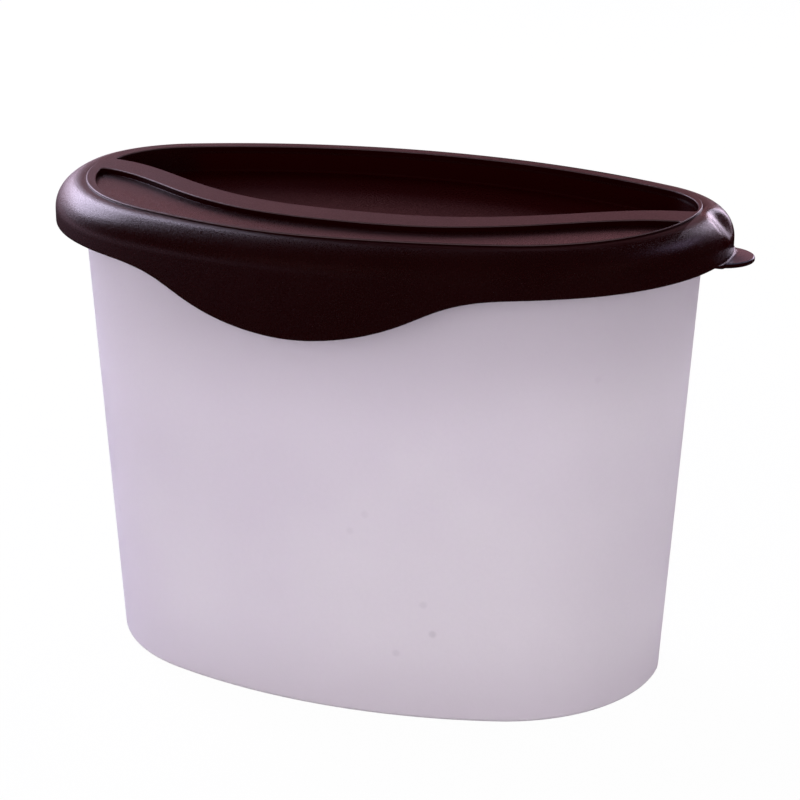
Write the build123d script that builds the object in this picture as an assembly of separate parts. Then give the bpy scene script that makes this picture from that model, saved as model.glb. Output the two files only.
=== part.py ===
from build123d import *
import math
import os

# An oval coffee canister: a tapered frosted container with a press-on moulded lid.
# Millimetres, +Z up, standing on Z = 0. X runs along the long axis to the pull tab,
# the front with the drooping skirt faces -Y, and Y = 0 passes through both ends.

# plan outline of the container at its rim, drawn with tangent arcs
half_length = 88.4
front_corner_radius = 54.8
front_corner_angle = 72.4
back_corner_radius = 27.7
back_corner_angle = 64.2

# container
body_height = 133.7
wall_draft = 3.24
body_wall = 2.0
floor_thickness = 2.2
base_bevel = 1.2
foot_width = 5.0
foot_height = 1.4

# rim of the container, stepped outwards under the lid's skirt, with a sealing bead
rim_step = 1.6
rim_outer_depth = 10.5
rim_inner_depth = 9.4
rim_slope = 2.4
bead_projection = 0.9
bead_height = 3.0
bead_bevel = 1.1

# lid shell
lid_wall = 1.7
lid_overhang = 7.5
shoulder_radius = 7.8
skirt_depth = 11.9
wave_x = -2.9
wave_drop = 14.0
wave_half_width = 70.0
wave_profile = (1.0, 0.947, 0.8, 0.545, 0.222, 0.053, 0.01, 0.0)

# flat rim round the top of the lid
crown_step = 0.5
crown_inset = 1.3

# seal walls that hang under the lid, inside and outside the container's rim
bead_clearance = 0.4
seal_ring_wall = 1.6
seal_ring_depth = 9.3
plug_depth = 6.5

# the two recesses in the lid's top and the bowed ridge between them
recess_inset = 3.7
recess_shift_x = 1.0
recess_shift_y = -1.6
back_recess_depth = 7.6
front_recess_depth = 1.6
recess_corner_radius = 1.1
recess_floor_bevel = 0.8
ridge_width = 10.5
ridge_sag = 38.1
ridge_profile = (1.0, 0.934, 0.643, 0.25, 0.16)
ridge_overrun = 11.6

# grip at the right-hand end: pull tab, with a thumb scoop in the shoulder above it
grip_y = 1.5
tab_radius = 9.2
tab_reach = 6.0
tab_thickness = 1.3
scoop_radius = 35.0
scoop_depth = 1.65
scoop_angle = 45.0

# heights and offsets that follow from the sizes above
margin = 5.0
wall_run = body_height * math.tan(math.radians(wall_draft))
lid_top = body_height + lid_wall + crown_step
shell_top = lid_top - crown_step
skirt_bottom = lid_top - skirt_depth
wave_bottom = skirt_bottom - wave_drop
inner_bevel = 0.66 * (shoulder_radius - lid_wall)
ring_inside = rim_step + bead_projection + bead_clearance
ring_outside = ring_inside + seal_ring_wall
plug_outside = rim_step - body_wall - bead_clearance
plug_inside = plug_outside - lid_wall
lid_half_length = half_length + lid_overhang
far = 2 * lid_half_length


def long_arc_radius(corner_radius, corner_angle):
    """Radius of the long arc that runs tangent into both corner arcs of one side."""
    reach = half_length - corner_radius
    return corner_radius + reach / math.cos(math.radians(corner_angle))


def outline_point(angle, offset, z, side=1):
    """Point of the plan outline whose outward normal lies at angle, in degrees."""
    back = angle > 0
    radius = back_corner_radius if back else front_corner_radius
    corner_angle = back_corner_angle if back else front_corner_angle
    centre_x = half_length - radius
    centre_y = 0.0
    if abs(angle) > corner_angle:
        turn = math.radians(math.copysign(corner_angle, angle))
        long_radius = long_arc_radius(radius, corner_angle)
        centre_x = 0.0
        centre_y = (radius - long_radius) * math.sin(turn)
        radius = long_radius
    x = centre_x + (radius + offset) * math.cos(math.radians(angle))
    y = centre_y + (radius + offset) * math.sin(math.radians(angle))
    return (side * x, y, z)


def oval(offset, z):
    """Flat face inside the plan outline moved outwards by offset."""
    front = -front_corner_angle
    back = back_corner_angle
    stops = [
        (front, -1, -90, 1, front, 1),
        (front, 1, front / 2, 1, 0, 1),
        (0, 1, back / 2, 1, back, 1),
        (back, 1, 90, 1, back, -1),
        (back, -1, back / 2, -1, 0, -1),
        (0, -1, front / 2, -1, front, -1),
    ]
    arcs = []
    for a, a_side, b, b_side, c, c_side in stops:
        start = outline_point(a, offset, z, a_side)
        middle = outline_point(b, offset, z, b_side)
        end = outline_point(c, offset, z, c_side)
        arcs.append(Edge.make_three_point_arc(start, middle, end))
    return make_face(Wire(arcs))


def upright(offset, low, high):
    """Upright solid on the oval plan."""
    return extrude(oval(offset, low), amount=high - low)


def tapered(offset, low, high):
    """Solid that narrows downwards with the wall draft, offset taken at the rim."""
    at_top = offset - (body_height - high) * math.tan(math.radians(wall_draft))
    return extrude(oval(at_top, high), amount=low - high, taper=wall_draft)


def level_edges(solid, z):
    """Edges that lie flat at height z."""
    def is_level(edge):
        box = edge.bounding_box()
        return abs(box.min.Z - z) < 0.01 and abs(box.max.Z - z) < 0.01
    return [edge for edge in solid.edges() if is_level(edge)]


def ridge_corners(solid):
    """Upright edges where the ridge's curved wall meets the rest of a recess."""
    ridge_wall = [face for face in solid.faces()
                  if face.geom_type in (GeomType.EXTRUSION, GeomType.BSPLINE)]
    return [edge for edge in ridge_wall[0].edges() if edge.bounding_box().size.X < 0.01]


def domed(offset, low, high, radius):
    """Upright oval solid with a rounded shoulder."""
    solid = upright(offset, low, high)
    return fillet(level_edges(solid, high), radius)


def bevelled(solid, z, bevel):
    """The solid with its edges at height z cut off at 45 degrees."""
    return chamfer(level_edges(solid, z), bevel)


def container():
    """Tapered cup with a foot ring and a stepped, beaded rim."""
    outside = tapered(0, 0, body_height)
    outside = bevelled(outside, 0, base_bevel)
    rim = upright(rim_step, body_height - rim_outer_depth, body_height)
    outside += bevelled(rim, body_height - rim_outer_depth, rim_slope)
    bead = upright(rim_step + bead_projection, body_height - bead_height, body_height)
    outside += bevelled(bead, body_height - bead_height, bead_bevel)
    inside = tapered(-body_wall, floor_thickness, body_height)
    rim_inside = upright(rim_step - body_wall, body_height - rim_inner_depth, body_height)
    inside += bevelled(rim_inside, body_height - rim_inner_depth, rim_slope)
    under_foot = oval(-wall_run - base_bevel - foot_width, 0)
    foot_hollow = extrude(under_foot, amount=foot_height, taper=30)
    return outside - inside - foot_hollow


def ridge_line(shift):
    """Bowed line that runs from end to end of the lid, moved in Y by shift."""
    reach = half_length + ridge_overrun
    last = len(ridge_profile) - 1
    points = []
    for i in range(-last, last + 1):
        y = -ridge_sag * ridge_profile[abs(i)] + shift
        points.append((reach * i / last, y, 0))
    return Edge.make_spline(points), points[0], points[-1]


def side_of_ridge(shift, direction, low, high):
    """Everything behind (direction 1) or in front (-1) of the shifted ridge line."""
    line, start, end = ridge_line(shift)
    corners = [end, (end[0], direction * far, 0), (start[0], direction * far, 0), start]
    wire = Wire([line] + [Edge.make_line(a, b) for a, b in zip(corners, corners[1:])])
    return extrude(Pos(0, 0, low) * make_face(wire), amount=high - low, dir=(0, 0, 1))


def recess_oval(growth, low, high):
    """Upright solid on the recesses' own oval, which sits off the middle of the lid."""
    return Pos(recess_shift_x, recess_shift_y, 0) * upright(growth - recess_inset, low, high)


def recess(direction, depth):
    """Solid that is cut out of the lid's top on one side of the ridge."""
    low = lid_top - depth
    high = lid_top + margin
    shift = direction * ridge_width / 2
    solid = recess_oval(0, low, high) & side_of_ridge(shift, direction, low, high)
    return fillet(ridge_corners(solid), recess_corner_radius)


def back_pan():
    """Wall and floor that the lid has below the back recess."""
    low = lid_top - back_recess_depth - lid_wall
    high = shell_top - lid_wall / 2
    return recess_oval(lid_wall, low, high) & side_of_ridge(ridge_width / 2 - lid_wall, 1, low, high)


def front_pan():
    """Floor that the lid has below the front recess, out to the plug wall."""
    low = lid_top - front_recess_depth - lid_wall
    high = shell_top - lid_wall / 2
    return upright(plug_outside, low, high) & side_of_ridge(lid_wall - ridge_width / 2, -1, low, high)


def skirt_trim():
    """Everything below the skirt's lower edge, which droops in a wave at the front."""
    last = len(wave_profile) - 1
    wave = []
    for i in range(-last, last + 1):
        x = wave_x + wave_half_width * i / last
        wave.append((x, 0, skirt_bottom - wave_drop * wave_profile[abs(i)]))
    low = wave_bottom - margin
    level = (1, 0, 0)
    corners = [wave[-1], (far, 0, skirt_bottom), (far, 0, low), (-far, 0, low)]
    corners += [(-far, 0, skirt_bottom), wave[0]]
    edges = [Edge.make_spline(wave, tangents=[level, level])]
    edges += [Edge.make_line(a, b) for a, b in zip(corners, corners[1:])]
    front = extrude(make_face(Wire(edges)), amount=far, dir=(0, -1, 0))
    back = Pos(0, far / 2, (low + skirt_bottom) / 2) * Box(2 * far, far, skirt_bottom - low)
    return front + back


def tab():
    """Rounded pull tab that sticks out from under the skirt's lower edge."""
    centre_x = lid_half_length + tab_reach - tab_radius
    middle_z = skirt_bottom - tab_thickness / 2
    plate = Pos(centre_x, grip_y, middle_z) * Cylinder(tab_radius, tab_thickness)
    return plate - upright(lid_overhang - lid_wall / 2, wave_bottom, lid_top)


def scoop(growth):
    """Ball that hollows the shoulder for the thumb, grown by a wall."""
    turn = math.radians(scoop_angle)
    ring = shoulder_radius + scoop_radius - scoop_depth
    x = lid_half_length - shoulder_radius + ring * math.sin(turn)
    z = shell_top - shoulder_radius + ring * math.cos(turn)
    return Pos(x, grip_y, z) * Sphere(scoop_radius + growth)


def lid():
    """Press-on lid: domed shell, seal walls, recessed top, ridge, tab and scoop."""
    low = wave_bottom - margin
    outside = domed(lid_overhang, low, shell_top, shoulder_radius)
    inside = upright(lid_overhang - lid_wall, low - margin, shell_top - lid_wall)
    inside = bevelled(inside, shell_top - lid_wall, inner_bevel)
    solid = outside - inside + upright(-crown_inset, shell_top - lid_wall / 2, lid_top)
    solid -= skirt_trim()
    solid += upright(ring_outside, body_height - seal_ring_depth, shell_top - lid_wall / 2) & outside
    solid -= upright(ring_inside, low, body_height)
    solid += upright(plug_outside, body_height - plug_depth, body_height + lid_wall / 2)
    solid -= upright(plug_inside, low, body_height)
    solid += back_pan() + front_pan()
    solid += tab()
    solid += (scoop(lid_wall) & outside) - upright(ring_inside, low, shell_top)
    back_recess = recess(1, back_recess_depth)
    solid -= bevelled(back_recess, lid_top - back_recess_depth, recess_floor_bevel)
    solid -= recess(-1, front_recess_depth)
    solid -= scoop(0)
    return solid


os.makedirs("parts", exist_ok=True)
export_step(container(), "parts/canister_body.step")
export_step(lid(), "parts/lid.step")
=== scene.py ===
import bpy
import bmesh
import math
import numpy as np
from mathutils import Matrix, Vector


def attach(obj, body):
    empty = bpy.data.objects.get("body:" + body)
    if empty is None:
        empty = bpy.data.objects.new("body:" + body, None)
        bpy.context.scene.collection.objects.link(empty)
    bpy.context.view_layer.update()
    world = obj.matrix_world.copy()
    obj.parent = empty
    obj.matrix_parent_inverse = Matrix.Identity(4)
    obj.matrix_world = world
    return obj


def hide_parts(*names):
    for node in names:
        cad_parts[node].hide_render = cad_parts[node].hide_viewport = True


# An oval coffee canister: a frosted tapered container under a dark press-on lid.
# Sizes are in millimetres, in the frame's own axes, unless a comment says metres.

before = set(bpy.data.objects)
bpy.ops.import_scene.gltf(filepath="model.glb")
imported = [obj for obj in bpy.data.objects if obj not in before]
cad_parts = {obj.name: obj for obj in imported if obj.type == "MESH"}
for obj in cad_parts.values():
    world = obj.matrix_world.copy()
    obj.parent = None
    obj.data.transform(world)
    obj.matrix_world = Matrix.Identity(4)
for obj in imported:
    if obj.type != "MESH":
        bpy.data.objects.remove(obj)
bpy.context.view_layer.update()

MM = 0.001

# plan outline of the container at its rim, drawn with tangent arcs
HALF_LENGTH = 88.4
FRONT_CORNER = (54.8, 72.4)
BACK_CORNER = (27.7, 64.2)
OUTLINE_STEP = 1.0

# container
BODY_HEIGHT = 133.7
WALL_DRAFT = math.tan(math.radians(3.24))
BODY_WALL = 2.0
WALL_ROWS = 24
FLOOR = 2.2
BASE_EDGE = 1.2
FLOOR_EDGE = 2.4
FOOT_WIDTH = 5.0
FOOT_HEIGHT = 1.4
FOOT_SLOPE = math.tan(math.radians(30))
FOOT_EDGE = 0.3

# rim of the container, stepped outwards under the lid's skirt, with a sealing bead
RIM_STEP = 1.6
RIM_OUTER_DEPTH = 10.5
RIM_INNER_DEPTH = 9.4
RIM_SLOPE = 2.4
RIM_EDGE = 0.3
BEAD = 0.9
BEAD_HEIGHT = 3.0
BEAD_BEVEL = 1.1
BEAD_EDGE = 0.2

# lid shell
LID_WALL = 1.7
ROOF_BORDER = 0.3
OVERHANG = 7.5
SHOULDER = 7.8
SHOULDER_ROWS = 31
SKIRT_DEPTH = 11.9
SKIRT_EDGE = 0.45
WAVE_X = -2.9
WAVE_DROP = 14.0
WAVE_HALF_WIDTH = 70.0
WAVE_PROFILE = (1.0, 0.947, 0.8, 0.545, 0.222, 0.053, 0.01, 0.0)
CROWN_STEP = 0.5
CROWN_INSET = 1.3
CROWN_EDGE = 0.3
CROWN_FOOT = 0.06
CROWN_BOW = 1.7
CROWN_BOW_X = -12.0
CROWN_BOW_LENGTH = 26.0
CROWN_BOW_START = 66

# seal walls under the lid
BEAD_CLEARANCE = 0.4
RING_WALL = 1.6
RING_DEPTH = 9.3
RING_EDGE = 0.5
RING_DIP = 2.55
PLUG_DEPTH = 6.5

# recesses and ridge
RECESS_INSET = 3.7
RECESS_SHIFT = np.array([1.0, -1.6])
BACK_DEPTH = 7.6
FRONT_DEPTH = 1.6
RECESS_CORNER = 1.1
BACK_FOOT = 0.7
FRONT_FOOT = 0.06
RECESS_LIP = 0.18
RECESS_REACH = 0.8
REACH_START = 0.5
REACH_RUN = 0.4796
PAN_FOOT = 1.0
PAN_CORNER = 1.0
PAN_GAP = 0.02
RIDGE_WIDTH = 10.5
RIDGE_SAG = 38.1
RIDGE_PROFILE = (1.0, 0.934, 0.643, 0.25, 0.16)
RIDGE_REACH = HALF_LENGTH + 11.6
RIDGE_SAMPLES = 4001
RIDGE_STRIDE = 12
CORNER_STEPS = 9

# grip
GRIP_Y = 1.5
TAB_RADIUS = 9.195
TAB_REACH = 5.995
TAB_THICKNESS = 1.3
TAB_RIM = 0.55
TAB_OVERLAP = 0.05
TAB_FILLET = 0.45
ROOT_HALF_WIDTH = 8.0
ROOT_WEB = 9.0
ROOT_THIN = 0.05
SCOOP_ANGLE = math.radians(47)
SCOOP_DEPTH = 1.75
SCOOP_HALF_WIDTH = 9.0
SCOOP_HALF_ARC = 7.0

LID_TOP = BODY_HEIGHT + LID_WALL + CROWN_STEP
SHELL_TOP = LID_TOP - CROWN_STEP
SKIRT_BOTTOM = LID_TOP - SKIRT_DEPTH
LID_HALF_LENGTH = HALF_LENGTH + OVERHANG
RING_INSIDE = RIM_STEP + BEAD + BEAD_CLEARANCE
RING_OUTSIDE = RING_INSIDE + RING_WALL
PLUG_OUTSIDE = RIM_STEP - BODY_WALL - BEAD_CLEARANCE
PLUG_INSIDE = PLUG_OUTSIDE - LID_WALL

# how far a cutter reaches past what it cuts
SPARE = 5.0

# soft shading keeps edges that turn by more than this, in degrees
SHARP_ANGLE = 32


# plan outline: every point keeps the centre, radius and outward angle of its arc
def arc_stops(corner, turn):
    """Centre, radius and angle of the points on one quarter, from the end to the middle."""
    radius, corner_angle = corner
    lean = math.radians(corner_angle)
    reach = HALF_LENGTH - radius
    long_radius = radius + reach / math.cos(lean)
    long_y = (radius - long_radius) * math.sin(lean) * turn
    corner_steps = int(radius * lean / OUTLINE_STEP) + 1
    long_steps = int(long_radius * (math.pi / 2 - lean) / OUTLINE_STEP) + 1
    stops = []
    for i in range(corner_steps):
        stops.append((reach, 0.0, radius, turn * lean * i / corner_steps))
    for i in range(long_steps):
        angle = lean + (math.pi / 2 - lean) * i / long_steps
        stops.append((0.0, long_y, long_radius, turn * angle))
    stops.append((0.0, long_y, long_radius, turn * math.pi / 2))
    return stops


def whole_outline():
    """All the points round the plan, anticlockwise from the right-hand end."""
    back = arc_stops(BACK_CORNER, 1)
    front = arc_stops(FRONT_CORNER, -1)

    def mirrored(stops):
        return [(-x, y, r, math.pi - a) for x, y, r, a in stops]

    return np.array(back[:-1] + mirrored(back)[::-1] + mirrored(front)[1:-1] + front[:0:-1])


OUTLINE = whole_outline()


def outline_points(offset):
    """Plan points moved outwards by offset, which may be one value or one for each point."""
    reach = OUTLINE[:, 2] + offset
    x = OUTLINE[:, 0] + reach * np.cos(OUTLINE[:, 3])
    y = OUTLINE[:, 1] + reach * np.sin(OUTLINE[:, 3])
    return np.column_stack([x, y])


def ring(offset, z):
    """One row of points round the plan at height z."""
    plan = outline_points(offset)
    return np.column_stack([plan, np.broadcast_to(z, len(plan))])


def rounding(offset, z, radius, start, end, steps=6):
    """Offset and height of points on an arc round (offset, z), angles in degrees."""
    angles = np.radians(np.linspace(start, end, steps + 1))
    return [(offset + radius * math.cos(a), z + radius * math.sin(a)) for a in angles]


def new_mesh(name, points, faces):
    """Object in the scene, from points in millimetres, with its faces turned outwards."""
    mesh = bpy.data.meshes.new(name)
    mesh.from_pydata([tuple(MM * np.array(p)) for p in points], [], faces)
    turned = bmesh.new()
    turned.from_mesh(mesh)
    bmesh.ops.recalc_face_normals(turned, faces=turned.faces)
    turned.to_mesh(mesh)
    turned.free()
    obj = bpy.data.objects.new(name, mesh)
    bpy.context.scene.collection.objects.link(obj)
    return obj


def skin(name, rows, looped=False):
    """Closed mesh through rows of points: capped at both ends, or joined to a loop."""
    count = len(rows[0])
    faces = []
    last = len(rows) if looped else len(rows) - 1
    for i in range(last):
        a = i * count
        b = (i + 1) % len(rows) * count
        for j in range(count):
            k = (j + 1) % count
            faces.append((a + j, a + k, b + k, b + j))
    if not looped:
        faces.append(tuple(range(count)))
        faces.append(tuple(range((len(rows) - 1) * count, len(rows) * count)))
    return new_mesh(name, np.vstack(rows), faces)


def combine(target, other, operation):
    """Boolean of two meshes; the second one is used up."""
    step = target.modifiers.new(operation, "BOOLEAN")
    step.operation = operation
    step.solver = "EXACT"
    step.object = other
    graph = bpy.context.evaluated_depsgraph_get()
    made = bpy.data.meshes.new_from_object(target.evaluated_get(graph))
    target.modifiers.clear()
    target.data = made
    bpy.data.objects.remove(other)


def smooth(obj):
    """Soft shading that keeps the sharp edges, weighted by face size."""
    for face in obj.data.polygons:
        face.use_smooth = True
    obj.data.set_sharp_from_angle(angle=math.radians(SHARP_ANGLE))
    weighted = obj.modifiers.new("weighted normals", "WEIGHTED_NORMAL")
    weighted.keep_sharp = True
    weighted.weight = 90


# container
def wall(z, inwards=0.0):
    """Offset of the container's drafted wall at height z."""
    return -(BODY_HEIGHT - z) * WALL_DRAFT - inwards


def step_foot(offset, z, inwards):
    """Where a 45 degree slope down from (offset, z) meets the drafted wall."""
    foot = -((BODY_HEIGHT - z + offset) * WALL_DRAFT + inwards) / (1 - WALL_DRAFT)
    return foot, z - offset + foot


def make_container():
    """Tapered cup with a foot ring, rounded edges and a stepped, beaded rim."""
    foot_inside = wall(0) - BASE_EDGE - FOOT_WIDTH
    profile = [(foot_inside - FOOT_HEIGHT * FOOT_SLOPE, FOOT_HEIGHT)]
    profile += [(foot_inside - FOOT_EDGE / 2, FOOT_EDGE / 1.5), (foot_inside, FOOT_EDGE / 6)]
    profile.append((foot_inside + FOOT_EDGE, 0.0))
    profile += rounding(wall(BASE_EDGE) - BASE_EDGE, BASE_EDGE, BASE_EDGE, -90, 0)
    full = BODY_HEIGHT - RIM_OUTER_DEPTH + RIM_SLOPE
    foot, foot_z = step_foot(RIM_STEP, full, 0)
    for share in np.linspace(0.04, 0.98, WALL_ROWS):
        z = BASE_EDGE + (foot_z - BASE_EDGE) * share
        profile.append((wall(z), z))
    profile += [(foot + RIM_EDGE, foot_z + RIM_EDGE), (RIM_STEP - RIM_EDGE, full - RIM_EDGE)]
    profile.append((RIM_STEP, full + RIM_EDGE))
    bead_z = BODY_HEIGHT - BEAD_HEIGHT + BEAD_BEVEL
    bead_foot = bead_z - BEAD
    bead_out = RIM_STEP + BEAD
    profile.append((RIM_STEP, bead_foot - BEAD_EDGE))
    profile.append((RIM_STEP + 0.75 * BEAD_EDGE, bead_foot + BEAD_EDGE / 2))
    profile += [(bead_out - BEAD_EDGE, bead_z - BEAD_EDGE), (bead_out, bead_z + BEAD_EDGE)]
    profile += rounding(bead_out - RIM_EDGE, BODY_HEIGHT - RIM_EDGE, RIM_EDGE, 0, 90, 4)
    inner = RIM_STEP - BODY_WALL
    profile += rounding(inner + RIM_EDGE, BODY_HEIGHT - RIM_EDGE, RIM_EDGE, 90, 180, 4)
    full = BODY_HEIGHT - RIM_INNER_DEPTH + RIM_SLOPE
    foot, foot_z = step_foot(inner, full, BODY_WALL)
    profile += [(inner, full + RIM_EDGE), (inner - RIM_EDGE, full - RIM_EDGE)]
    profile.append((foot + RIM_EDGE, foot_z + RIM_EDGE))
    for share in np.linspace(0.02, 0.97, WALL_ROWS):
        z = foot_z + (FLOOR + FLOOR_EDGE - foot_z) * share
        profile.append((wall(z, BODY_WALL), z))
    inner = wall(FLOOR + FLOOR_EDGE, BODY_WALL)
    profile += rounding(inner - FLOOR_EDGE, FLOOR + FLOOR_EDGE, FLOOR_EDGE, 0, -90, 8)
    return skin("container", [ring(offset, z) for offset, z in profile])


# smooth curves through evenly spaced stations: the skirt's wave and the bowed ridge
def even_spline(profile, reach, level_ends):
    """Cubic through a mirrored profile whose last station lies at reach from the middle."""
    y = np.array(profile[:0:-1] + profile)
    gap = reach / (len(profile) - 1)
    count = len(y)
    system = np.eye(count)
    right = np.zeros(count)
    for i in range(1, count - 1):
        system[i, i - 1:i + 2] = (1, 4, 1)
        right[i] = 6 * (y[i + 1] - 2 * y[i] + y[i - 1]) / gap ** 2
    if level_ends:
        system[0, :2] = (2, 1)
        system[-1, -2:] = (1, 2)
        right[0] = 6 * (y[1] - y[0]) / gap ** 2
        right[-1] = 6 * (y[-2] - y[-1]) / gap ** 2
    return y, np.linalg.solve(system, right), gap, reach


def spline_at(spline, x):
    """Value and slope of the spline at x, measured from its middle."""
    y, bend, gap, reach = spline
    cell = np.clip(((x + reach) / gap).astype(int), 0, len(y) - 2)
    t = (x + reach) / gap - cell
    s = 1 - t
    value = s * y[cell] + t * y[cell + 1]
    value += gap ** 2 / 6 * ((s ** 3 - s) * bend[cell] + (t ** 3 - t) * bend[cell + 1])
    slope = (y[cell + 1] - y[cell]) / gap
    slope += gap / 6 * ((1 - 3 * s ** 2) * bend[cell] + (3 * t ** 2 - 1) * bend[cell + 1])
    return value, slope


WAVE = even_spline(WAVE_PROFILE, WAVE_HALF_WIDTH, True)
RIDGE = even_spline(RIDGE_PROFILE, RIDGE_REACH, False)


# lid
def skirt_edge_height(plan):
    """Height of the skirt's lower edge at each plan point: level, with a wave at the front."""
    x = np.clip(plan[:, 0] - WAVE_X, -WAVE_HALF_WIDTH, WAVE_HALF_WIDTH)
    droop = WAVE_DROP * spline_at(WAVE, x)[0]
    return SKIRT_BOTTOM - np.where(plan[:, 1] < 0, droop, 0)


def crown_bow():
    """How far the crown's front edge bows outwards, left of the middle."""
    bow = CROWN_BOW * np.exp(-((outline_points(0)[:, 0] - CROWN_BOW_X) / CROWN_BOW_LENGTH) ** 2)
    return bow * np.clip(-np.sin(OUTLINE[:, 3]), 0, 1)


def crown(inset, z):
    """Row of the raised flat rim, inset from its bowed edge."""
    return ring(crown_bow() - CROWN_INSET - inset, z)


def scoop_side():
    """Squared distance from the thumb scoop's middle line, as a share of its half width."""
    plan = outline_points(OVERHANG)
    across = (plan[:, 1] - GRIP_Y) / SCOOP_HALF_WIDTH
    return np.where(plan[:, 0] > 0, across ** 2, 1)


def outer_row(offset, z):
    """Row of the lid's outside, with the soft thumb scoop pressed into the shoulder."""
    turn = np.arctan2(offset - OVERHANG + SHOULDER, z - SHELL_TOP + SHOULDER)
    along = SHOULDER * (turn - SCOOP_ANGLE) / SCOOP_HALF_ARC
    depth = SCOOP_DEPTH * np.clip(1 - scoop_side() - along ** 2, 0, 1) ** 2
    return ring(offset - depth * math.sin(SCOOP_ANGLE), z - depth * math.cos(SCOOP_ANGLE))


def shoulder_row(angle):
    """Row of the rounded shoulder; the upper rows make room for the crown's bow."""
    share = np.clip((angle - CROWN_BOW_START) / (90 - CROWN_BOW_START), 0, 1)
    out = SHOULDER * math.cos(math.radians(angle)) + crown_bow() * share ** 2
    z = SHELL_TOP - SHOULDER + np.sqrt(SHOULDER ** 2 - out ** 2)
    return outer_row(out + OVERHANG - SHOULDER, z)


def make_shell():
    """Domed shell of the lid with its skirt and raised crown, top still closed."""
    inner = OVERHANG - LID_WALL
    roof = SHELL_TOP - LID_WALL
    shoulder_z = SHELL_TOP - SHOULDER
    inner_bevel = 0.66 * (SHOULDER - LID_WALL)
    edge = skirt_edge_height(outline_points(OVERHANG))
    rows = [ring(inner - inner_bevel - ROOF_BORDER, roof), ring(inner - inner_bevel, roof)]
    rows.append(ring(inner - inner_bevel / 2, roof - inner_bevel / 2))
    rows.append(ring(inner, roof - inner_bevel))
    rows.append(ring(inner, shoulder_z))
    for share in (0.25, 0.5, 0.75):
        rows.append(ring(inner, shoulder_z + (edge + SKIRT_EDGE - shoulder_z) * share))
    for offset, lift in rounding(inner + SKIRT_EDGE, SKIRT_EDGE, SKIRT_EDGE, 180, 270, 4):
        rows.append(ring(offset, edge + lift))
    for offset, lift in rounding(OVERHANG - SKIRT_EDGE, SKIRT_EDGE, SKIRT_EDGE, 270, 360, 4):
        rows.append(ring(offset, edge + lift))
    for share in (0.9, 0.75, 0.5, 0.25, 0.12, 0.04):
        rows.append(outer_row(OVERHANG, shoulder_z + (edge + SKIRT_EDGE - shoulder_z) * share))
    rows += [shoulder_row(angle) for angle in np.linspace(0, 90, SHOULDER_ROWS)]
    rows += [crown(-CROWN_FOOT, SHELL_TOP), crown(0, SHELL_TOP + CROWN_FOOT)]
    for offset, z in rounding(-CROWN_EDGE, LID_TOP - CROWN_EDGE, CROWN_EDGE, 0, 90, 6):
        rows.append(crown(-offset, z))
    rows.append(crown(CROWN_EDGE + 0.1, LID_TOP))
    return skin("lid", rows)


def wall_ring(name, outside, inside, low, high, dip=0.0):
    """Upright wall all round the plan, with a rounded lower edge and a top that can dip."""
    profile = rounding(outside - RING_EDGE, low + RING_EDGE, RING_EDGE, 0, -90, 4)
    profile += rounding(inside + RING_EDGE, low + RING_EDGE, RING_EDGE, -90, -180, 4)
    profile += [(inside, high - 0.4 * dip), (outside, high - dip)]
    return skin(name, [ring(offset, z) for offset, z in profile], looped=True)


def half_plan(side, offset, shift, half_width, corner):
    """Plan on one side of the ridge as points and outward normals: oval, corner, ridge, corner."""
    x = np.linspace(-RIDGE_REACH, RIDGE_REACH, RIDGE_SAMPLES)
    value, slope = spline_at(RIDGE, x)
    slope = -RIDGE_SAG * slope
    length = np.sqrt(1 + slope ** 2)
    normal = np.column_stack([slope / length, -1 / length]) * side
    line = np.column_stack([x, side * half_width - RIDGE_SAG * value])
    middles = line - normal * corner
    rounds = outline_points(offset - corner) + shift

    def meeting(end):
        """Ridge sample and oval point next to the centre of the corner's circle."""
        half = np.where(x * end > 0.5 * HALF_LENGTH)[0]
        best = None
        for j in np.where(rounds[:, 0] * end > 0)[0]:
            start = rounds[j]
            run = rounds[(j + 1) % len(rounds)] - start
            gaps = middles[half] - start
            along = np.clip(gaps @ run / (run @ run), 0, 1)
            miss = np.hypot(*(gaps - along[:, None] * run).T)
            i = miss.argmin()
            if best is None or miss[i] < best[0]:
                best = (miss[i], half[i], j)
        return best[1:]
    right_i, right_j = meeting(1)
    left_i, left_j = meeting(-1)

    def turn(start, end, centre):
        """Points on the corner's circle between two normals."""
        start_angle = math.atan2(start[1], start[0])
        sweep = (math.atan2(end[1], end[0]) - start_angle + math.pi) % (2 * math.pi) - math.pi
        found = []
        for angle in start_angle + sweep * np.linspace(0, 1, CORNER_STEPS + 1)[1:-1]:
            out = np.array([math.cos(angle), math.sin(angle)])
            found.append((centre + out * corner, out))
        return found

    count = len(OUTLINE)
    oval = outline_points(offset) + shift
    facing = np.column_stack([np.cos(OUTLINE[:, 3]), np.sin(OUTLINE[:, 3])])
    first, last = (right_j + 1, left_j) if side > 0 else (left_j + 1, right_j)
    if last < first:
        last += count
    loop = [(oval[j % count], facing[j % count]) for j in range(first, last + 1)]
    inner = list(range(left_i, right_i, RIDGE_STRIDE)) + [right_i]
    if side < 0:
        inner = inner[::-1]
    enter, leave = inner[0], inner[-1]
    closing = turn(normal[leave], loop[0][1], middles[leave])
    loop += turn(loop[-1][1], normal[enter], middles[enter])
    loop += [(line[i], normal[i]) for i in inner]
    loop += closing
    return np.array([p for p, n in loop]), np.array([n for p, n in loop])


def stacked(name, plan, profile):
    """Closed mesh whose rows are the plan grown by each offset, at each height."""
    points, normals = plan
    rows = [np.column_stack([points + normals * d, np.full(len(points), z)]) for d, z in profile]
    return skin(name, rows)


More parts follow.
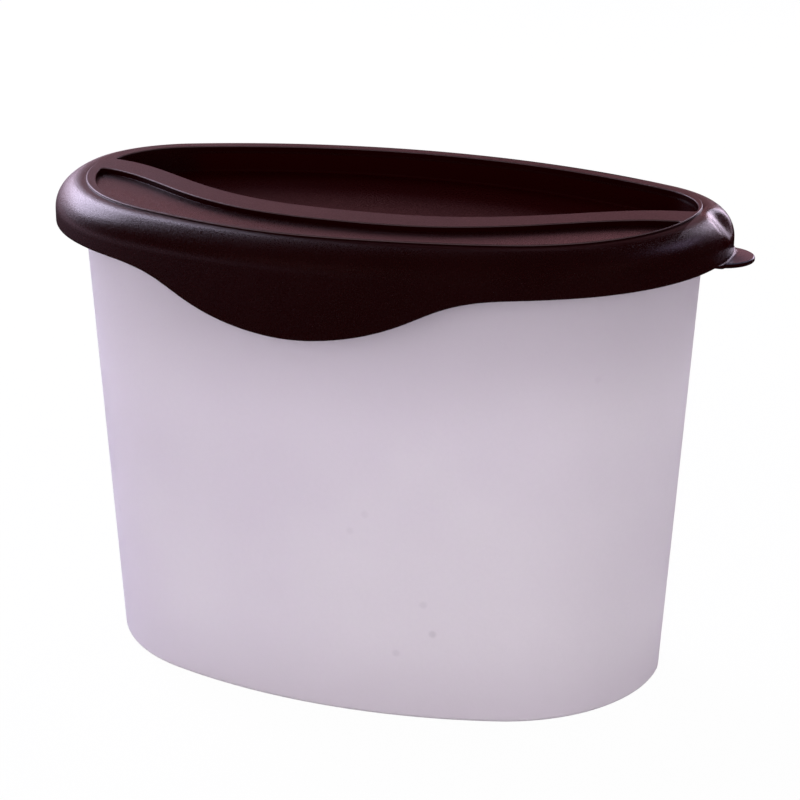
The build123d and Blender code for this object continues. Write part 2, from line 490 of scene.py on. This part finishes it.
def recess_plan(side):
    """Plan of one recess; both reach a little further at the right-hand end."""
    points, normals = half_plan(side, -RECESS_INSET, RECESS_SHIFT, RIDGE_WIDTH / 2, RECESS_CORNER)
    share = np.clip((points[:, 0] / HALF_LENGTH - REACH_START) / REACH_RUN, 0, None)
    points[:, 0] += RECESS_REACH * share ** 2
    return points, normals


def recess_cutter(side, depth, foot):
    """What one recess takes away: rounded foot, upright wall, lip that flares at the top."""
    low = LID_TOP - depth
    profile = rounding(-foot, low + foot, foot, -90, 0, 6)
    profile += [(0.0, low + foot + (depth - foot - RECESS_LIP) * t) for t in (0.4, 0.8)]
    profile += rounding(RECESS_LIP, LID_TOP - RECESS_LIP, RECESS_LIP, 180, 96, 5)
    profile.append((RECESS_LIP + 0.05, LID_TOP + 1.0))
    return stacked("recess", recess_plan(side), profile)


def back_pan():
    """Wall and floor that the lid has below the back recess."""
    low = LID_TOP - BACK_DEPTH - LID_WALL
    profile = rounding(LID_WALL - PAN_FOOT, low + PAN_FOOT, PAN_FOOT, -90, 0, 4)
    return stacked("back pan", recess_plan(1), profile + [(LID_WALL, SHELL_TOP - LID_WALL / 2)])


def front_pan():
    """Floor that the lid has below the front recess, out to the plug wall."""
    low = LID_TOP - FRONT_DEPTH - LID_WALL
    plan = half_plan(-1, PLUG_OUTSIDE, np.zeros(2), RIDGE_WIDTH / 2 - LID_WALL, PAN_CORNER)
    return stacked("front pan", plan, [(-PAN_GAP, low), (-PAN_GAP, SHELL_TOP - LID_WALL / 2)])


def make_tab():
    """Round pull tab under the skirt's edge, with a soft rim; the fillet at its root is made by
    make_tab_root.
    """
    centre_x = LID_HALF_LENGTH + TAB_REACH - TAB_RADIUS
    low = SKIRT_BOTTOM - TAB_THICKNESS
    high = SKIRT_BOTTOM + TAB_OVERLAP
    profile = rounding(TAB_RADIUS - TAB_RIM, low + TAB_RIM, TAB_RIM, -90, 0, 5)
    profile += rounding(TAB_RADIUS - TAB_RIM, high - TAB_RIM, TAB_RIM, 0, 90, 5)
    turns = np.linspace(0, 2 * math.pi, 97)[:-1]
    rows = []
    for radius, z in profile:
        x = centre_x + radius * np.cos(turns)
        y = GRIP_Y + radius * np.sin(turns)
        rows.append(np.column_stack([x, y, np.full(len(turns), z)]))
    plate = skin("tab", rows)
    inside = OVERHANG - LID_WALL / 2
    keep_out = skin("keep out", [ring(inside, low - SPARE), ring(inside, SKIRT_BOTTOM + SPARE)])
    combine(plate, keep_out, "DIFFERENCE")
    return plate


def make_tab_root():
    """Hollow fillet over the tab's root, with webs that taper into the skirt's edge."""
    away = np.abs(outline_points(OVERHANG)[:, 1] - GRIP_Y)
    share = np.clip((away - ROOT_HALF_WIDTH) / ROOT_WEB, 0, 1)
    share = np.where(outline_points(0)[:, 0] > 0, share, 1)
    full = 1 - share ** 2 * (3 - 2 * share)
    inner = OVERHANG - LID_WALL + 0.5
    outer = OVERHANG - 0.4 + 0.38 * full
    fillet = ROOT_THIN + (TAB_FILLET - ROOT_THIN) * full
    low = SKIRT_BOTTOM + 0.5 - (TAB_THICKNESS + 0.45) * full
    rows = [ring(inner, low), ring(inner, SKIRT_BOTTOM + 0.9)]
    for a in np.radians(np.linspace(180, 270, 7)):
        z = SKIRT_BOTTOM + 0.03 + 0.5 * (1 - full) + fillet * (1 + math.sin(a))
        rows.append(ring(outer + fillet * (1 + math.cos(a)), z))
    rows.append(ring(outer + fillet * 0.8, low))
    return skin("root", rows, looped=True)


def make_lid():
    """Shell with its seal walls, pans under the recesses, pull tab and the recesses cut in."""
    lid = make_shell()
    top = SHELL_TOP - LID_WALL / 2
    dip = RING_DIP * np.clip(1 - scoop_side(), 0, 1) ** 2
    low = BODY_HEIGHT - RING_DEPTH
    combine(lid, wall_ring("ring", RING_OUTSIDE, RING_INSIDE, low, BODY_HEIGHT, dip), "UNION")
    plug = wall_ring("plug", PLUG_OUTSIDE, PLUG_INSIDE, BODY_HEIGHT - PLUG_DEPTH, top)
    combine(lid, plug, "UNION")
    combine(lid, back_pan(), "UNION")
    combine(lid, front_pan(), "UNION")
    combine(lid, make_tab(), "UNION")
    combine(lid, make_tab_root(), "UNION")
    combine(lid, recess_cutter(1, BACK_DEPTH, BACK_FOOT), "DIFFERENCE")
    combine(lid, recess_cutter(-1, FRONT_DEPTH, FRONT_FOOT), "DIFFERENCE")
    return lid


# materials
class Shading:
    """Node material with a principled shader, and short ways to add nodes to it."""

    def __init__(self, name):
        self.material = bpy.data.materials.new(name)
        self.material.use_nodes = True
        self.nodes = self.material.node_tree.nodes
        self.links = self.material.node_tree.links
        self.plastic = self.nodes["Principled BSDF"]
        self.locate("Object")

    def locate(self, space):
        """Coordinates that the other nodes read, together and by axis."""
        self.place = self.nodes.new("ShaderNodeTexCoord").outputs[space]
        split = self.nodes.new("ShaderNodeSeparateXYZ")
        self.links.new(self.place, split.inputs[0])
        self.x, self.y, self.z = split.outputs

    def feed(self, value, socket):
        """Link the socket to another one, or set it to a plain value."""
        if isinstance(value, bpy.types.NodeSocket):
            self.links.new(value, socket)
        else:
            socket.default_value = value

    def set(self, **values):
        """Fill inputs of the principled shader by name."""
        for name, value in values.items():
            self.feed(value, self.plastic.inputs[name.replace("_", " ")])

    def noise(self, scale, detail, roughness):
        node = self.nodes.new("ShaderNodeTexNoise")
        node.inputs["Scale"].default_value = scale
        node.inputs["Detail"].default_value = detail
        node.inputs["Roughness"].default_value = roughness
        self.links.new(self.place, node.inputs["Vector"])
        return node.outputs["Fac"]

    def ramp(self, value, low, high, start=0.0, end=1.0):
        """Smooth step of value between low and high, as a number from start to end."""
        node = self.nodes.new("ShaderNodeMapRange")
        node.interpolation_type = "SMOOTHSTEP"
        self.feed(value, node.inputs["Value"])
        node.inputs["From Min"].default_value = low
        node.inputs["From Max"].default_value = high
        node.inputs["To Min"].default_value = start
        node.inputs["To Max"].default_value = end
        return node.outputs["Result"]

    def above(self, axis, low, high):
        """Zero below low and one above high, in millimetres along an axis."""
        return self.ramp(axis, MM * low, MM * high)

    def below(self, axis, low, high):
        """One below low and zero above high, in millimetres along an axis."""
        return self.ramp(axis, MM * low, MM * high, 1.0, 0.0)

    def calculate(self, operation, a, b):
        node = self.nodes.new("ShaderNodeMath")
        node.operation = operation
        self.feed(a, node.inputs[0])
        self.feed(b, node.inputs[1])
        return node.outputs[0]

    def add(self, a, b):
        return self.calculate("ADD", a, b)

    def times(self, a, b):
        return self.calculate("MULTIPLY", a, b)

    def larger(self, a, b):
        return self.calculate("MAXIMUM", a, b)

    def mix(self, share, a, b):
        node = self.nodes.new("ShaderNodeMix")
        node.data_type = "RGBA"
        self.feed(share, node.inputs["Factor"])
        self.feed(a, node.inputs[6])
        self.feed(b, node.inputs[7])
        return node.outputs[2]

    def inside_oval(self, centre, half, fade):
        """One inside an upright oval column, fading to zero over a share of its size."""
        shift = self.nodes.new("ShaderNodeVectorMath")
        shift.operation = "SUBTRACT"
        self.links.new(self.place, shift.inputs[0])
        shift.inputs[1].default_value = (MM * centre[0], MM * centre[1], 0)
        scale = self.nodes.new("ShaderNodeVectorMath")
        scale.operation = "MULTIPLY"
        self.links.new(shift.outputs[0], scale.inputs[0])
        scale.inputs[1].default_value = (1 / (MM * half[0]), 1 / (MM * half[1]), 0)
        length = self.nodes.new("ShaderNodeVectorMath")
        length.operation = "LENGTH"
        self.links.new(scale.outputs[0], length.inputs[0])
        return self.ramp(length.outputs["Value"], 1.0, 1.0 + fade, 1.0, 0.0)

    def near(self, point, radius):
        """One close to the point and zero beyond the radius."""
        node = self.nodes.new("ShaderNodeVectorMath")
        node.operation = "DISTANCE"
        self.links.new(self.place, node.inputs[0])
        node.inputs[1].default_value = [MM * value for value in point]
        return self.below(node.outputs["Value"], 0.3 * radius, radius)

    def bump(self, height, distance):
        """Relief from a height, as deep as distance in millimetres."""
        node = self.nodes.new("ShaderNodeBump")
        node.inputs["Distance"].default_value = MM * distance
        self.links.new(height, node.inputs["Height"])
        self.links.new(node.outputs["Normal"], self.plastic.inputs["Normal"])


# faint round blots in the front wall: where, and how dark
BLOTS = (
    ((13.5, -55.3, 60.0), 0.10),
    ((9.3, -55.5, 54.7), 0.10),
    ((28.8, -51.8, 34.8), 0.16),
    ((31.2, -50.9, 26.2), 0.26),
    ((21.3, -52.1, 19.6), 0.16),
    ((70.8, -37.4, 98.7), 0.08),
    ((-70.0, -33.7, 41.7), 0.08),
)
BLOT_RADIUS = 1.5

# colours of the frosted wall: two tints of its clouds, its grain, painted shade under the lid, darker
# foot and blots
CLOUD = (0.63, 0.557, 0.635, 1)
PALE_CLOUD = (0.67, 0.602, 0.665, 1)
GRAIN = (0.5, 0.44, 0.52, 1)
PAINTED_LID_SHADOW = (0.47, 0.415, 0.47, 1)
FOOT = (0.60, 0.535, 0.602, 1)
BLOT = (0.3, 0.25, 0.31, 1)

# dark lid colours: two cloud tints, recess floors, a painted lip highlight and a painted tab
# reflection
DARK_CLOUD = (0.0085, 0.0001, 0.0002, 1)
BROWN_CLOUD = (0.01, 0.0002, 0.0003, 1)
RECESS_FLOOR = (0.012, 0.0002, 0.0003, 1)
PAINTED_LIP_HIGHLIGHT = (0.075, 0.045, 0.05, 1)
PAINTED_TAB_REFLECTION = (0.055, 0.048, 0.072, 1)

# where the frosted wall turns darker: heights under the lid and at the foot, and its left part
LID_SHADE = (78.0, 118.0)
FOOT_SHADE = (0.0, 28.0)
LEFT_PART = (-90.0, -30.0)

# places on the lid where the plastic shines differently
HOLLOW_CENTRE = (4.0, -8.5)
HOLLOW_HALF = (85.5, 52.0)
HOLLOW_END = 87.1
BACK_RIM_CENTRE = (-2.0, 45.0)
BACK_RIM_HALF = (55.0, 24.0)
ABOVE_TAB = (94.8, -2.0, 127.2)
ABOVE_TAB_RADIUS = 11.0
THUMB = (93.6, GRIP_Y, 133.1)
THUMB_RADIUS = 11.5


def frosted():
    """Milky polypropylene: faint clouds, fine grain, light scattered in the wall and painted shade
    under the lid.
    """
    shade = Shading("frosted plastic")
    clouds = shade.noise(9, 3, 0.55)
    grain = shade.noise(900, 2, 0.6)
    pale = shade.mix(shade.ramp(clouds, 0.35, 0.65), CLOUD, PALE_CLOUD)
    colour = shade.mix(shade.ramp(grain, 0.3, 0.7, 0, 0.05), pale, GRAIN)
    # painted shade of the lid: the wall is darkened at heights under it, less on its left part
    strength = shade.ramp(shade.x, MM * LEFT_PART[0], MM * LEFT_PART[1], 0.3, 0.9)
    shaded = shade.times(shade.above(shade.z, *LID_SHADE), strength)
    colour = shade.mix(shaded, colour, PAINTED_LID_SHADOW)
    colour = shade.mix(shade.below(shade.z, *FOOT_SHADE), colour, FOOT)
    for place, strength in BLOTS:
        blot = shade.times(shade.near(place, BLOT_RADIUS), strength)
        colour = shade.mix(blot, colour, BLOT)
    rough = shade.ramp(shade.noise(30, 2, 0.5), 0.3, 0.7, 0.4, 0.5)
    shade.set(Base_Color=colour, Roughness=rough, Subsurface_Weight=0.6, Subsurface_Scale=6 * MM)
    shade.plastic.inputs["Subsurface Radius"].default_value = (1.0, 0.9, 1.0)
    shade.bump(shade.noise(700, 3, 0.6), 0.04)
    return shade.material


def dark_plastic():
    """Very dark brown polyethylene: matte moulded top, smoother shoulder and skirt; painted lip
    highlight, painted tab reflection.
    """
    shade = Shading("dark plastic")
    clouds = shade.noise(25, 3, 0.6)
    front_floor = LID_TOP - FRONT_DEPTH
    top = shade.above(shade.z, SHELL_TOP - 0.5, SHELL_TOP)
    deep = shade.below(shade.z, front_floor - 0.8, front_floor - 0.2)

    colour = shade.mix(shade.ramp(clouds, 0.35, 0.65), DARK_CLOUD, BROWN_CLOUD)
    # painted highlight: a pale band along the lips' rounded edges
    lip_highlight = shade.above(shade.z, LID_TOP - 0.35, LID_TOP - 0.15)
    lip_highlight = shade.times(lip_highlight, shade.below(shade.z, LID_TOP - 0.07, LID_TOP - 0.01))
    colour = shade.mix(lip_highlight, colour, PAINTED_LIP_HIGHLIGHT)

    walls = shade.above(shade.z, front_floor + 0.04, front_floor + 0.1)
    walls = shade.times(walls, shade.below(shade.z, LID_TOP - 0.4, LID_TOP - 0.2))
    hollow = shade.inside_oval(HOLLOW_CENTRE, HOLLOW_HALF, 0.04)
    hollow = shade.times(hollow, shade.below(shade.x, HOLLOW_END - 0.2, HOLLOW_END + 0.2))
    hollow = shade.times(hollow, shade.larger(walls, deep))
    colour = shade.mix(shade.times(hollow, deep), colour, RECESS_FLOOR)

    # painted reflection: the pull tab's top is tinted lavender
    tab = shade.above(shade.x, LID_HALF_LENGTH - 0.2, LID_HALF_LENGTH + 0.4)
    tab = shade.times(tab, shade.above(shade.z, SKIRT_BOTTOM - 0.2, SKIRT_BOTTOM - 0.1))
    colour = shade.mix(tab, colour, PAINTED_TAB_REFLECTION)

    dull = shade.larger(hollow, shade.near(ABOVE_TAB, ABOVE_TAB_RADIUS))
    gloss = shade.ramp(dull, 0, 1, 0.5, 0.04)
    rim = shade.times(shade.inside_oval(BACK_RIM_CENTRE, BACK_RIM_HALF, 0.5), top)
    gloss = shade.add(gloss, shade.ramp(rim, 0, 1, 0, -0.22))

    rough = shade.add(shade.ramp(top, 0, 1, 0.3, 0.36), shade.ramp(clouds, 0.3, 0.7, -0.02, 0.02))
    rough = shade.add(rough, shade.ramp(shade.noise(2600, 2, 0.6), 0.35, 0.65, -0.04, 0.04))
    rough = shade.add(rough, shade.ramp(shade.near(THUMB, THUMB_RADIUS), 0, 1, 0, -0.12))
    rough = shade.add(rough, shade.ramp(tab, 0, 1, 0, -0.14))
    shade.set(Base_Color=colour, Roughness=rough, Specular_IOR_Level=gloss)
    shade.bump(shade.noise(1500, 3, 0.65), 0.05)
    return shade.material


container = make_container()
container.data.materials.append(frosted())
smooth(container)
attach(container, "canister")
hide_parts("canister_body")

lid = make_lid()
lid.data.materials.clear()
lid.data.materials.append(dark_plastic())
smooth(lid)
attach(lid, "lid")
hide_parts("lid")


# floor and surroundings
def ray_switch(shade, camera, glossy, other):
    """Colour by the kind of ray that looks: the camera's, a reflection's or any other."""
    path = shade.nodes.new("ShaderNodeLightPath")
    reflected = shade.mix(path.outputs["Is Glossy Ray"], other, glossy)
    return shade.mix(path.outputs["Is Camera Ray"], reflected, camera)


WHITE = (1, 1, 1, 1)
BLACK = (0, 0, 0, 1)
FLOOR_HALF = 4000
FLOOR_GLOW = (-1200, -300)
FLOOR_WHITE_SHARE = 0.97


def make_floor():
    """Pale floor: all but white to the camera, with a trace of the object's shadow."""
    shade = Shading("pale floor")
    shade.set(Base_Color=(0.85, 0.85, 0.85, 1), Roughness=1.0)
    left = shade.below(shade.x, *FLOOR_GLOW)
    glow = shade.nodes.new("ShaderNodeEmission")
    seen = shade.mix(left, (0.02, 0.006, 0.008, 1), (0.55, 0.36, 0.48, 1))
    shade.links.new(ray_switch(shade, WHITE, seen, BLACK), glow.inputs["Color"])
    path = shade.nodes.new("ShaderNodeLightPath")
    direct = shade.times(path.outputs["Is Camera Ray"], FLOOR_WHITE_SHARE)
    share = shade.larger(direct, path.outputs["Is Glossy Ray"])
    mix = shade.nodes.new("ShaderNodeMixShader")
    shade.links.new(share, mix.inputs["Fac"])
    shade.links.new(shade.plastic.outputs[0], mix.inputs[1])
    shade.links.new(glow.outputs[0], mix.inputs[2])
    shade.links.new(mix.outputs[0], shade.nodes["Material Output"].inputs["Surface"])
    corners = [(-1, -1), (1, -1), (1, 1), (-1, 1)]
    points = [(FLOOR_HALF * x, FLOOR_HALF * y, 0) for x, y in corners]
    floor = new_mesh("floor", points, [(0, 1, 2, 3)])
    floor.data.materials.append(shade.material)


class WorldShading(Shading):
    """The same short ways, for the world's nodes."""

    def __init__(self):
        world = bpy.data.worlds.new("studio")
        bpy.context.scene.world = world
        world.use_nodes = True
        self.nodes = world.node_tree.nodes
        self.links = world.node_tree.links
        self.locate("Generated")


def make_world():
    """White to the camera, even light on the object, a dark front room in reflections."""
    shade = WorldShading()
    # x, y and z are parts of a direction here, from -1 to 1
    behind = shade.ramp(shade.y, 0.1, 0.7)
    low = shade.ramp(shade.z, 0.15, 0.5, 1.0, 0.0)
    off_floor = shade.ramp(shade.z, 0.0, 0.2, 0.3, 1.0)
    leftwards = shade.ramp(shade.x, 0.15, 0.55, 1.0, 0.0)
    wall = shade.times(shade.times(behind, leftwards), shade.times(low, off_floor))
    seen = shade.mix(wall, (0.008, 0.0008, 0.001, 1), (0.80, 0.34, 0.40, 1))
    colour = ray_switch(shade, WHITE, seen, (0.50, 0.485, 0.51, 1))
    shade.links.new(colour, shade.nodes["Background"].inputs["Color"])
    shade.nodes["Background"].inputs["Strength"].default_value = 1.0


# where all the lights point, metres
LIGHT_AIM = Vector((0, 0, 0.08))


def area_light(name, place, size, power, colour=(1, 1, 1), glossy=True, diffuse=True):
    """Rectangular light, in metres and watts, that can be left out of reflections or shading."""
    light = bpy.data.lights.new(name, "AREA")
    light.shape = "RECTANGLE"
    light.size, light.size_y = size
    light.energy = power
    light.color = colour
    obj = bpy.data.objects.new(name, light)
    obj.location = place
    obj.rotation_mode = "QUATERNION"
    obj.rotation_quaternion = (LIGHT_AIM - Vector(place)).to_track_quat("-Z", "Y")
    obj.visible_glossy = glossy
    obj.visible_diffuse = diffuse
    bpy.context.scene.collection.objects.link(obj)


def make_lights():
    """Soft fills that only shade the object, and panels that also show in the dark lid."""
    area_light("front fill", (-0.4, -1.6, 0.5), (1.5, 1.2), 12.0, glossy=False)
    area_light("left fill", (-1.5, 0.35, 0.5), (1.0, 1.0), 5.3, (0.87, 0.91, 1.0), glossy=False)
    area_light("left rim", (-1.2, 0.9, 0.4), (0.5, 0.5), 6.0, (0.45, 0.70, 1.0), glossy=False)
    area_light("right fill", (1.5, -0.9, 0.5), (1.0, 1.0), 8.0, glossy=False)
    area_light("right rim", (0.75, 1.05, 0.2), (0.5, 0.5), 5.2, glossy=False)
    area_light("left softbox", (-0.94, 0.50, 0.69), (0.85, 0.55), 9.4, (0.84, 0.76, 1.0))
    area_light("left glow", (-1.108, 0.614, 0.372), (1.0, 0.46), 1.8, (0.84, 0.75, 1.0))
    area_light("right strip", (0.279, 1.119, 0.411), (0.38, 0.47), 2.4, (0.88, 0.78, 1.0))
    area_light("scoop glow", (0.75, 0.68, 0.82), (0.35, 0.3), 0.4, (0.8, 0.62, 1.0), diffuse=False)
    area_light("front glint", (-0.53, -1.32, 0.59), (0.6, 0.15), 0.07, (1.0, 0.4, 0.4), diffuse=False)
    area_light("right glint", (1.27, -0.22, 0.9), (0.6, 0.25), 0.05, (1.0, 0.4, 0.4), diffuse=False)


# camera, in metres and radians; its focal length is in pixels of an image this wide
CAMERA_AZIMUTH = 0.3509
CAMERA_ELEVATION = 0.3376
CAMERA_DISTANCE = 0.6292
CAMERA_ROLL = 0.0038
CAMERA_TARGET = Vector((0.00557, -0.00679, 0.07506))
FOCAL_LENGTH_PIXELS = 2234.5
IMAGE_WIDTH = 800


def make_camera():
    """Camera that looks at the object from the front right and a little above."""
    data = bpy.data.cameras.new("camera")
    data.sensor_width = 36.0
    data.lens = FOCAL_LENGTH_PIXELS / IMAGE_WIDTH * data.sensor_width
    data.clip_start = 0.05
    data.clip_end = 50
    level = math.cos(CAMERA_ELEVATION)
    back = Vector((math.sin(CAMERA_AZIMUTH) * level, -math.cos(CAMERA_AZIMUTH) * level, 0))
    back.z = math.sin(CAMERA_ELEVATION)
    camera = bpy.data.objects.new("camera", data)
    camera.rotation_mode = "QUATERNION"
    camera.location = CAMERA_TARGET + back * CAMERA_DISTANCE
    aim = (-back).to_track_quat("-Z", "Y").to_matrix()
    camera.rotation_quaternion = (aim @ Matrix.Rotation(CAMERA_ROLL, 3, "Z")).to_quaternion()
    bpy.context.scene.collection.objects.link(camera)
    bpy.context.scene.camera = camera


make_floor()
make_world()
make_lights()
make_camera()
bpy.context.scene.view_settings.view_transform = "Standard"
